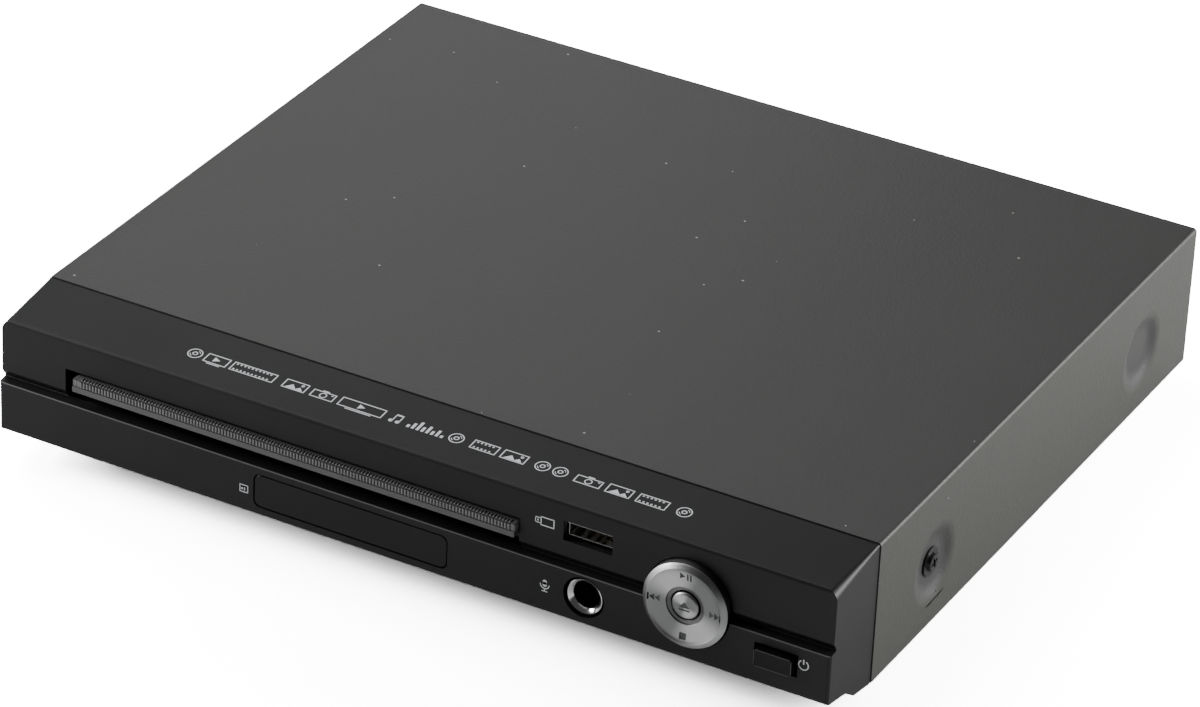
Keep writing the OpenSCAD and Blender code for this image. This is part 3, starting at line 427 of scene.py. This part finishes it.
tongue_ivory = moulded("tongue_ivory", (0.62, 0.62, 0.6), 0.4, 0.3, 0.004, 0.04)
key_black = power_key_plastic()
# Painted shade: dark grey inlay laid on the floors of the engraved symbols, standing in for the shade inside
# the engravings.
engraving_shade_grey = moulded("engraving_shade_grey", (0.06, 0.062, 0.065), 0.5, 0.3, 0.004, 0.1)
print_white = moulded("print_white", (0.6, 0.62, 0.64), 0.55, 0.3, 0.004, 0.04)
gold = metal("contact_gold", (0.83, 0.6, 0.25), 0.2, depth=0.002)
floor_finish = studio_floor()

for name, node in nodes.items():
    node.data.materials.clear()
    finish = tongue_ivory if name == "usb_tongue" else finishes[slot_of[name]]
    node.data.materials.append(finish.material)


# ---- Making pieces ----

def only(obj):
    """Object mode, with this object alone selected."""
    if bpy.context.mode != "OBJECT":
        bpy.ops.object.mode_set(mode="OBJECT")
    bpy.ops.object.select_all(action="DESELECT")
    obj.select_set(True)
    bpy.context.view_layer.objects.active = obj
    return obj


def settle():
    """Puts the active object's place in its mesh."""
    bpy.ops.object.transform_apply(location=True, rotation=True, scale=True)
    return bpy.context.object


def block(x, y, z):
    """Block between two values on each axis, in local millimetres."""
    bpy.ops.object.select_all(action="DESELECT")
    bpy.ops.mesh.primitive_cube_add(size=1, location=[sum(r) / 2 for r in (x, y, z)])
    bpy.context.object.scale = [r[1] - r[0] for r in (x, y, z)]
    return settle()


TURNS = {"X": (0, math.pi / 2, 0), "Y": (math.pi / 2, 0, 0), "Z": (0, 0, 0)}


def bar(centre, axis, radius, length, sides=48):
    """Round or many-sided bar about an axis, in local millimetres."""
    bpy.ops.object.select_all(action="DESELECT")
    bpy.ops.mesh.primitive_cylinder_add(vertices=sides, radius=radius, depth=length, location=centre,
                                        rotation=TURNS[axis])
    return settle()


def wedge(centre, wide, tall, points, deep):
    """Flat triangle about Z whose tip points at an angle in degrees; wide is across the way it points."""
    bpy.ops.object.select_all(action="DESELECT")
    bpy.ops.mesh.primitive_cylinder_add(vertices=3, radius=1, depth=1)
    obj = bpy.context.object
    obj.scale = (wide / math.sqrt(3), tall / 1.5, deep[1] - deep[0])
    settle()
    obj.location = (0, -tall / 6, 0)
    settle()
    obj.rotation_euler.z = math.radians(points - 90)
    obj.location = (centre[0], centre[1], sum(deep) / 2)
    return settle()


def arc(centre, radius, width, thick, start, sweep):
    """Flat curved stroke about the Z axis, from start degrees through sweep. Spin runs clockwise."""
    a = math.radians(start)
    bpy.ops.object.select_all(action="DESELECT")
    bpy.ops.mesh.primitive_plane_add(size=1, location=(centre[0] + radius * math.cos(a),
                                                       centre[1] + radius * math.sin(a), 0))
    obj = bpy.context.object
    obj.rotation_euler = (math.pi / 2, 0, a)
    obj.scale = (width, thick, 1)
    settle()
    bpy.ops.object.mode_set(mode="EDIT")
    bpy.ops.mesh.select_all(action="SELECT")
    bpy.ops.mesh.spin(steps=36, angle=-math.radians(sweep), center=(*centre, 0), axis=(0, 0, 1))
    return mended(obj)


def mended(obj):
    """Merges doubled points and turns every face outwards."""
    bpy.ops.mesh.select_all(action="SELECT")
    bpy.ops.mesh.remove_doubles(threshold=0.001)
    bpy.ops.mesh.normals_make_consistent(inside=False)
    bpy.ops.object.mode_set(mode="OBJECT")
    return obj


def turned(profile, centre, steps):
    """Turned part: a closed line through (radius, forward) points, spun about an axis that runs forward."""
    bpy.ops.object.select_all(action="DESELECT")
    bpy.ops.mesh.primitive_plane_add(size=1)
    obj = bpy.context.object
    bpy.ops.object.mode_set(mode="EDIT")
    bpy.ops.mesh.select_mode(type="VERT")
    bpy.ops.mesh.merge(type="CENTER")
    here = (0, 0)
    for n, (radius, height) in enumerate([*profile, profile[0]]):
        move = {"value": (radius - here[0], 0, height - here[1])}
        if n:
            bpy.ops.mesh.extrude_region_move(TRANSFORM_OT_translate=move)
        else:
            bpy.ops.transform.translate(**move)
        here = (radius, height)
    bpy.ops.mesh.select_all(action="SELECT")
    bpy.ops.mesh.spin(steps=steps, angle=2 * math.pi, center=(0, 0, 0), axis=(0, 0, 1))
    mended(obj)
    obj.rotation_euler = TURNS["Y"]
    obj.location = (centre[0], 0, centre[1])
    return settle()


def joined(parts):
    """Several objects as one."""
    only(parts[0])
    for part in parts[1:]:
        part.select_set(True)
    if len(parts) > 1:
        bpy.ops.object.join()
    return bpy.context.object


def shaped(obj, kind, **settings):
    """Adds a modifier and applies it."""
    only(obj)
    step = obj.modifiers.new(kind.lower(), kind)
    for name, value in settings.items():
        setattr(step, name, value)
    bpy.ops.object.modifier_apply(modifier=step.name)
    return obj


def eased(obj, width, segments=2):
    """Rounds every edge that is sharper than 30 degrees."""
    return shaped(obj, "BEVEL", width=width, segments=segments, limit_method="ANGLE",
                  angle_limit=math.radians(30), use_clamp_overlap=True)


def picked(obj, kind, test):
    """Edit mode with only the faces or edges selected whose centre, in case millimetres, passes a test."""
    only(obj)
    verts = obj.data.vertices
    for item in (*verts, *obj.data.edges, *obj.data.polygons):
        item.select = False
    for item in (obj.data.edges if kind == "EDGE" else obj.data.polygons):
        points = [(verts[v].co - CASE) * 1000 for v in item.vertices]
        item.select = all(test(point) for point in points)
    bpy.ops.object.mode_set(mode="EDIT")
    bpy.ops.mesh.select_mode(type=kind)
    return obj


def row(obj, count, step):
    """Repeats a shape at a constant step."""
    return shaped(obj, "ARRAY", count=count, use_relative_offset=False, use_constant_offset=True,
                  constant_offset_displace=step)


def cut(obj, cutter):
    """Takes one shape out of another."""
    shaped(obj, "BOOLEAN", operation="DIFFERENCE", solver="EXACT", object=cutter)
    bpy.data.objects.remove(cutter)
    return obj


def node_copy(node):
    """A CAD node's shape as a new mesh of flat faces."""
    obj = bpy.data.objects.new(node, nodes[node].data.copy())
    bpy.context.scene.collection.objects.link(obj)
    only(obj)
    bpy.ops.object.mode_set(mode="EDIT")
    bpy.ops.mesh.select_all(action="SELECT")
    bpy.ops.mesh.remove_doubles(threshold=1e-6)
    bpy.ops.mesh.dissolve_limited(angle_limit=math.radians(1))
    bpy.ops.object.mode_set(mode="OBJECT")
    return obj


def placed(obj, turn=None, at=None):
    """From local millimetres to its place in metres; at is a place in the case's millimetres."""
    only(obj)
    obj.matrix_world = (Matrix.Translation(spot(*(at or (0, 0, 0)))) @ (turn or Matrix()).to_4x4()
                        @ Matrix.Scale(MM, 4))
    return settle()


def piece(obj, name, body, slot, finish=None, replaces=(), smooth=35):
    """Names a finished piece, gives it its finish and lets it ride on its body."""
    only(obj)
    bpy.ops.object.shade_smooth_by_angle(angle=math.radians(smooth))
    shaped(obj, "WEIGHTED_NORMAL", keep_sharp=True)
    obj.name = obj.data.name = name
    obj.data.materials.clear()
    obj.data.materials.append((finish or finishes[slot]).material)
    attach(obj, body)
    if replaces:
        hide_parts(*replaces)
    return obj


# A flat shape is drawn with X to the right, Y up and Z out of the surface that it lies on.
FRONT = Matrix(((1, 0, 0), (0, 0, -1), (0, 1, 0)))
SLOPE_TILT = math.atan2(SLOPE_BACK[1] - SLOPE_FRONT[1], SLOPE_BACK[0] - SLOPE_FRONT[0])
SLOPE = Matrix.Rotation(SLOPE_TILT, 3, "X")

bpy.ops.object.select_all(action="DESELECT")
bpy.ops.mesh.primitive_plane_add(size=12)
floor = bpy.context.object
floor.name = "studio_floor"
floor.data.materials.append(floor_finish.material)


# ---- Case ----

def eased_node(node, name, body, width, segments=2):
    """A CAD node with its edges rounded."""
    obj = eased(node_copy(node), width * MM, segments=segments)
    piece(obj, name, body, slot_of[node], replaces=[node])


def folded_cover():
    """Cover with rounded folds, and soft rims around the dimples in its sides."""
    soft_rim = 1.3 * MM
    cover = eased(node_copy("top_cover"), 0.18 * MM)
    for y in DIMPLES:
        for radius in DIMPLE_RADII:
            picked(cover, "EDGE", lambda point: abs(point.x) > SIDE_FACE - 3
                   and abs(math.hypot(point.y - y, point.z - DIMPLE_Z) - radius) < 0.12)
            bpy.ops.mesh.bevel(offset=soft_rim, segments=4, affect="EDGES")
            bpy.ops.object.mode_set(mode="OBJECT")
    piece(cover, "folded_cover", "case", "cover_paint", replaces=["top_cover"], smooth=20)


def window_pane():
    """Pane a hair smaller than its opening, so that a dark line runs around it."""
    gap = 0.3 * MM
    pane = node_copy("display_window")
    low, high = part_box("display_window")
    middle = (low + high) / 2
    shrink = Vector([1 - gap / (high - low)[n] if n != 1 else 1 for n in range(3)])
    pane.scale = shrink
    pane.location = [middle[n] * (1 - shrink[n]) for n in range(3)]
    piece(eased(settle(), 0.25 * MM, segments=3), "window_pane", "case", "window_black",
          replaces=["display_window"])


def power_key():
    """Rectangular key with a fine raised rim around its face."""
    key = node_copy("power_button")
    front = (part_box("power_button")[0].y - CASE.y) * 1000
    picked(key, "FACE", lambda point: point.y < front + 0.05)
    bpy.ops.mesh.inset(thickness=0.35 * MM)
    bpy.ops.transform.translate(value=(0, 0.16 * MM, 0))
    bpy.ops.object.mode_set(mode="OBJECT")
    piece(eased(key, 0.1 * MM), "power_key", "power", "black_plastic", key_black,
          replaces=["power_button"])


def case_pieces():
    folded_cover()
    window_pane()
    power_key()
    eased_node("front_bezel", "bezel_moulding", "case", 0.15)
    eased_node("side_screws", "side_washer_screws", "case", 0.12)
    eased_node("rear_screws", "rear_cross_screws", "case", 0.1)
    eased_node("feet", "round_feet", "case", 0.3, 3)
    eased_node("mains_inlet", "mains_socket", "case", 0.25)
    eased_node("rca_shells", "jack_shells", "case", 0.12)
    eased_node("disc_tray", "sliding_tray", "tray", 0.25)


# ---- Tray door ----

def tray_door():
    """Clear bar with upright ribs on its front and short ones along its top edge."""
    (left, right), (front, rear), (low, high) = DOOR["x"], DOOR["y"], DOOR["z"]
    plain_ends = 3.4
    count = int((right - left - plain_ends) / RIB_PITCH)
    body = eased(block((left, right), (front + 0.35, rear), (low, high - 0.3)), 0.25)
    strip = eased(block((left, right), (front, front + 1), (low, low + 1.65)), 0.2)
    rib = (RIB_START, RIB_START + RIB_WIDTH)
    ribs = [row(eased(block(rib, y, z), 0.14), count, (RIB_PITCH, 0, 0))
            for y, z in (((front + 0.02, front + 1), (low + 1.85, high - 0.5)),
                         ((front + 0.5, front + 1.9), (high - 1, high)))]
    piece(placed(joined([body, strip, *ribs])), "ribbed_door", "tray", "smoke_clear", replaces=["tray_door"])


# ---- Round control ----

def symbols(shapes, surface):
    """Flat symbols brought to the control, on a face that lies this far forward of the seam."""
    return placed(joined(shapes), FRONT, (CONTROL[0], -surface, CONTROL[1]))


def ring_symbols(deep):
    """Play and pause above, skip symbols at the sides, stop below."""
    far, tall = 8.5, 1.9
    shapes = [wedge((-0.85, far), tall, 1.5, 0, deep),
              block((-0.95, 0.95), (-far - 0.95, -far + 0.95), deep)]
    shapes += [block((x, x + 0.45), (far - tall / 2, far + tall / 2), deep) for x in (0.3, 1.15)]
    for side in (-1, 1):
        points = 0 if side > 0 else 180
        shapes += [wedge((side * (far + x), 0), tall, 1.3, points, deep) for x in (-1.0, 0.42)]
        shapes.append(block(sorted((side * (far + 1.2), side * (far + 1.6))), (-tall / 2, tall / 2), deep))
    return shapes


def eject_symbol(deep):
    """Triangle over a bar."""
    return [wedge((0, 0.4), 3, 1.7, 90, deep), block((-1.5, 1.5), (-1.3, -0.8), deep)]


def round_control():
    """Dished ring and its middle button, with symbols sunk in both and a dark grey inlay on their floors as
    painted shade.
    """
    rim, front, face, gutter = CONTROL_RIM, CONTROL_FRONT, 25, 24.3
    ring = turned([(4.1, 18), (5.6, 18), (5.6, 20.9), (rim - 0.2, 20.9), (rim, 21.1), (rim, front - 1),
                   (rim - 0.1, front - 0.82), (10.5, front - 0.06), (10.3, front), (10.1, front - 0.08),
                   (9.7, 25.14), (8.6, 24.98), (7.2, 24.86), (5.5, 24.8), (5.25, 24.7), (5.1, gutter + 0.05),
                   (5, gutter), (4.3, gutter), (4.1, gutter - 0.15)], CONTROL, steps=144)
    cut(placed(ring), symbols(ring_symbols((-0.35, 1)), face))
    pins = placed(joined([bar((CONTROL[0], -18.9, CONTROL[1] + side * 6.5), "Z", 0.7, 2.2)
                          for side in (-1, 1)]))
    piece(joined([ring, pins]), "dished_ring", "dial", "satin_silver", replaces=["control_ring"], smooth=28)
    # The dark inlay in the ring's symbols is painted shade.
    piece(symbols(ring_symbols((-0.36, -0.2)), face), "ring_symbols", "dial", "satin_silver", engraving_shade_grey)

    top = 24.95
    button = turned([(0, 17.35), (2, 17.35), (2, 19.5), (3.75, 19.5), (3.75, 24.15), (3.68, 24.45),
                     (3.45, 24.72), (3.05, 24.88), (2.6, top - 0.03), (0, top)], CONTROL, steps=96)
    cut(placed(button), symbols(eject_symbol((-0.2, 1)), top))
    piece(button, "eject_cap", "eject", "satin_silver", replaces=["eject_button"], smooth=28)
    piece(symbols(eject_symbol((-0.21, -0.1)), top), "eject_symbol", "eject", "satin_silver", engraving_shade_grey)


# ---- Sockets in the front ----

def microphone_jack():
    """Bright bushing with a funnel mouth, set back in its hole."""
    funnel = turned([(5, 17.45), (5, 23.1), (4.92, 23.3), (4.75, 23.38), (4.62, 23.3), (3.75, 22.6),
                     (3.6, 22.35), (3.6, 17.45)], JACK, steps=96)
    piece(placed(funnel), "jack_funnel", "case", "silver_plated", replaces=["jack_bushing"], smooth=28)


def usb_socket():
    """Folded metal shell with sprung tongues in its walls, and four contacts on the plastic tongue."""
    wide, tall, front, rear, wall = 6.55, 2.86, -20.2, -6.5, 0.3
    shell = eased(block((-wide, wide), (front, rear), (-tall, tall)), 0.5, segments=4)
    hollow = eased(block((wall - wide, wide - wall), (front - 2, rear + 2), (wall - tall, tall - wall)), 0.3,
                   segments=3)
    cut(shell, hollow)
    lip = block((-wide, wide), (front, front + 0.45), (-tall, tall))
    cut(lip, block((0.32 - wide, wide - 0.32), (front - 1, front + 1), (0.55 - tall, tall - 0.55)))
    springs = [eased(lip, 0.12)]
    for x in (-3.2, 3.2):
        for side in (-1, 1):
            z = sorted((side * (tall - wall), side * (tall - wall - 0.28)))
            springs.append(eased(block((x - 0.8, x + 0.8), (-17.8, -12), z), 0.12))
    for side in (-1, 1):
        x = sorted((side * (wide - wall), side * (wide - wall - 0.2)))
        springs.append(eased(block(x, (-17, -12.5), (-0.8, 0.8)), 0.09))
    piece(placed(joined([shell, *springs]), at=(USB[0], 0, USB[1])), "usb_metal_shell", "case",
          "silver_plated", replaces=["usb_shell"])
    contacts = [eased(block((x - 0.5, x + 0.5), (-18.9, -8.6), (0.08, 0.24)), 0.05)
                for x in (-3.5, -1, 1, 3.5)]
    piece(placed(joined(contacts), at=(USB[0], 0, USB[1])), "usb_contacts", "case", "silver_plated", gold)


# ---- Printed marks ----

# Printed marks sink a hair into the surface and stand a hair proud; LINE is a stroke's width.
PRINT = (-0.01, 0.03)
LINE = 0.3


def stroke(x, y):
    return block(x, y, PRINT)


def outline(width, height, line=LINE, x=0, y=0):
    """Rectangle drawn with four strokes."""
    w, h = width / 2, height / 2
    level = [stroke((x - w, x + w), (y + side * h - line / 2, y + side * h + line / 2)) for side in (-1, 1)]
    tall = (y - h - line / 2, y + h + line / 2)
    return level + [stroke((x + side * w - line / 2, x + side * w + line / 2), tall) for side in (-1, 1)]


def hoop(x, y, radius, line=LINE, start=0, sweep=360):
    return arc((x, y), radius, line, PRINT[1] - PRINT[0], start, sweep)


def shifted(shapes, x):
    """Shapes joined into one mark and moved along X."""
    mark = joined(shapes)
    mark.location.x = x
    settle()
    return [mark]


def disc_mark():
    """Disc with its hole and two glints."""
    size = 1.9
    return [hoop(0, 0, size), hoop(0, 0, size * 0.32), hoop(0, 0, size * 0.68, 0.2, 20, 50),
            hoop(0, 0, size * 0.68, 0.2, 200, 50)]


def film_mark(width):
    """Strip of film: a frame with two rows of holes."""
    frames = outline(width, 3.4)
    for n in range(int((width - 0.6) / 1.1)):
        x = -width / 2 + 0.7 + n * 1.1
        frames += [stroke((x, x + 0.5), (y - 0.25, y + 0.25)) for y in (-1.1, 1.1)]
    return frames


def picture_mark(width):
    """Framed picture of two hills and a sun."""
    return [*outline(width, 3.4), wedge((-width * 0.12, -0.55), width * 0.5, 1.8, 90, PRINT),
            wedge((width * 0.24, -0.8), width * 0.36, 1.3, 90, PRINT), hoop(width * 0.28, 0.75, 0.3)]


def play_mark(width):
    """Screen on a stand with a play triangle."""
    return [*outline(width, 3.4), wedge((0, 0), 1.9, 1.9, 0, PRINT),
            stroke((-width * 0.3, width * 0.3), (-2.4, -2.1))]


def bars_mark(width):
    """Bars of a sound level."""
    heights = [1.2, 2.4, 3.6, 2.0, 3.0, 1.6, 2.6, 1.0]
    step = width / len(heights)
    return [stroke((-width / 2 + n * step, -width / 2 + n * step + step * 0.55), (-1.8, -1.8 + h))
            for n, h in enumerate(heights)]


def note_mark():
    """Two joined notes."""
    heads = [bar((side * 0.95 - 0.35, -1.2, sum(PRINT) / 2), "Z", 0.6, PRINT[1] - PRINT[0], 20)
             for side in (-1, 1)]
    stems = [stroke((side * 0.95 - 0.1, side * 0.95 + 0.2), (-1.2, 1.7)) for side in (-1, 1)]
    return [*heads, *stems, stroke((-1.05, 1.15), (1.2, 1.8))]


def camera_mark(width):
    """Camera with its lens, viewfinder and lamp."""
    return [*outline(width, 2.8, y=-0.25), hoop(0, -0.25, 0.9), stroke((-0.9, 0.9), (1.25, 1.75)),
            stroke((width / 2 - 1.2, width / 2 - 0.6), (0.35, 0.7))]


def slope_marks():
    """Row of plain pictograms for what the player reads."""
    marks = [(-68.3, disc_mark()), (-61.8, play_mark(6.4)), (-51, film_mark(12.5)),
             (-38.6, picture_mark(6.4)), (-30.4, camera_mark(6.4)), (-19.2, play_mark(12.5)),
             (-8.9, note_mark()), (0, bars_mark(11)),
             (8.1, disc_mark()), (16.2, film_mark(7)), (24.6, picture_mark(6.6)), (32.6, disc_mark()),
             (37.6, disc_mark()), (45.6, camera_mark(7)), (54.2, picture_mark(6.6)), (63.4, film_mark(8)),
             (72.2, disc_mark())]
    shapes = [mark for x, parts in marks for mark in shifted(parts, x)]
    up_the_slope = 0.49
    y, z = (SLOPE_FRONT[n] + (SLOPE_BACK[n] - SLOPE_FRONT[n]) * up_the_slope for n in range(2))
    piece(placed(joined(shapes), SLOPE, (0, y, z)), "slope_pictograms", "case", "cable_white", print_white)


def front_marks():
    """Memory stick, microphone, remote sensor and power symbols beside what they name."""
    stick = outline(3.6, 2.3, x=0.9) + [stroke(x, y) for x, y in (
        ((-2.6, -0.9), (-0.85, -0.6)), ((-2.6, -0.9), (0.6, 0.85)), ((-2.6, -2.35), (-0.85, 0.85)),
        ((-1.95, -1.6), (-0.3, 0.3)))]
    piece(placed(joined(stick), FRONT, (39.5, UPPER_FACE, USB[1] + 0.2)), "stick_pictogram", "case",
          "cable_white", print_white)
    microphone = [bar((0, 0.85, sum(PRINT) / 2), "Z", 0.62, PRINT[1] - PRINT[0], 24),
                  stroke((-0.62, 0.62), (0.1, 0.85)),
                  bar((0, 0.1, sum(PRINT) / 2), "Z", 0.62, PRINT[1] - PRINT[0], 24),
                  hoop(0, 0.2, 1.25, 0.26, 180, 180), stroke((-0.13, 0.13), (-1.8, -1.05)),
                  stroke((-0.8, 0.8), (-1.95, -1.7))]
    piece(placed(joined(microphone), FRONT, (41.2, LOWER_FACE, JACK[1])), "microphone_pictogram", "case",
          "cable_white", print_white)
    sensor = outline(2.3, 2.0, 0.24) + [hoop(-0.2, -0.1, 0.5, 0.2, -60, 120), hoop(-0.5, -0.1, 0.2, 0.2)]
    piece(placed(joined(sensor), FRONT, (-45.8, LOWER_FACE, 13)), "sensor_pictogram", "case", "cable_white",
          print_white)
    standby = [hoop(0, 0, 1.3, 0.34, 120, 300), stroke((-0.17, 0.17), (0.2, 1.6))]
    piece(placed(joined(standby), FRONT, (112.7, LOWER_FACE, 15.9)), "power_symbol", "case", "cable_white",
          print_white)


case_pieces()
tray_door()
round_control()
microphone_jack()
usb_socket()
slope_marks()
front_marks()
